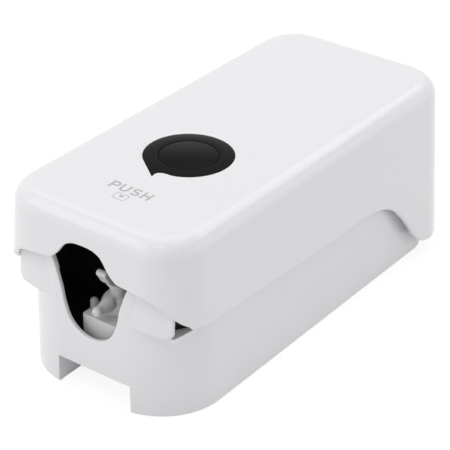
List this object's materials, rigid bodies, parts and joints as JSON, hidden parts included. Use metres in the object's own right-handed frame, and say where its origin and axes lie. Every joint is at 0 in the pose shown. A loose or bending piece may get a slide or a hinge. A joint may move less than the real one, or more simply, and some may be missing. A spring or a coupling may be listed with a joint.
{
  "type": "soap dispenser",
  "caption": "Wall-mounted bulk-fill liquid soap dispenser: a white push cover over a housing, with a sight window, refill reservoir and lever-driven pump.",
  "frame": {"origin": "on the wall face, at the middle of the cover's width and length", "axes": "+Z out of the wall towards the user, +Y up the wall, -Y towards the nozzle, X across"},
  "size_m": [0.1238, 0.2563, 0.1037],
  "materials": {
    "white_shell": "satin gloss white",
    "white_moulding": "satin white",
    "smoked_window": "smoked black",
    "grey_plastic": "fine texture",
    "black_plastic": "satin",
    "rubber": "matte",
    "steel": "plated"
  },
  "bodies": {
    "housing": {"rear_housing": "white_shell", "hinge_pin_left": "steel", "hinge_pin_right": "steel", "wall_plate": "grey_plastic", "wall_screw_1": "steel", "wall_screw_2": "steel", "wall_screw_3": "steel", "wall_screw_4": "steel", "housing_screw_1": "steel", "housing_screw_2": "steel", "housing_screw_3": "steel", "housing_screw_4": "steel", "pump_screw_1": "steel", "pump_screw_2": "steel", "reservoir": "black_plastic", "refill_lid": "grey_plastic", "lid_seal": "rubber", "neck_gasket": "rubber", "inlet_ball": "steel", "pump_block": "white_moulding", "pump_cap": "white_moulding", "outlet_nozzle": "white_moulding", "vent_plug": "grey_plastic", "pump_spring": "steel", "pump_shroud": "black_plastic"},
    "lever": {"push_lever": "white_moulding"},
    "cover": {"push_cover": "white_shell", "window_lens": "smoked_window", "window_disc": "smoked_window"},
    "piston": {"pump_piston": "white_moulding", "piston_seal": "rubber"}
  },
  "joints": [
    {"name": "lever_press", "type": "hinge", "parent": "housing", "child": "lever", "pos_m": [0, 0.114, 0.025], "axis": [1, 0, 0], "range_deg": [0, 1.6], "stiffness_Nm_per_rad": 6, "springref_deg": -8.59},
    {"name": "cover_open", "type": "hinge", "parent": "lever", "child": "cover", "pos_m": [0, 0.114, 0.025], "axis": [-1, 0, 0], "range_deg": [0, 88]},
    {"name": "piston_stroke", "type": "slide", "parent": "housing", "child": "piston", "axis": [0, 0, -1], "range_m": [0, 0.0064], "deforming": ["pump_spring"]}
  ],
  "couplings": [
    {"joint": "piston_stroke", "follows": "lever_press", "m_per_rad": 0.212}
  ]
}
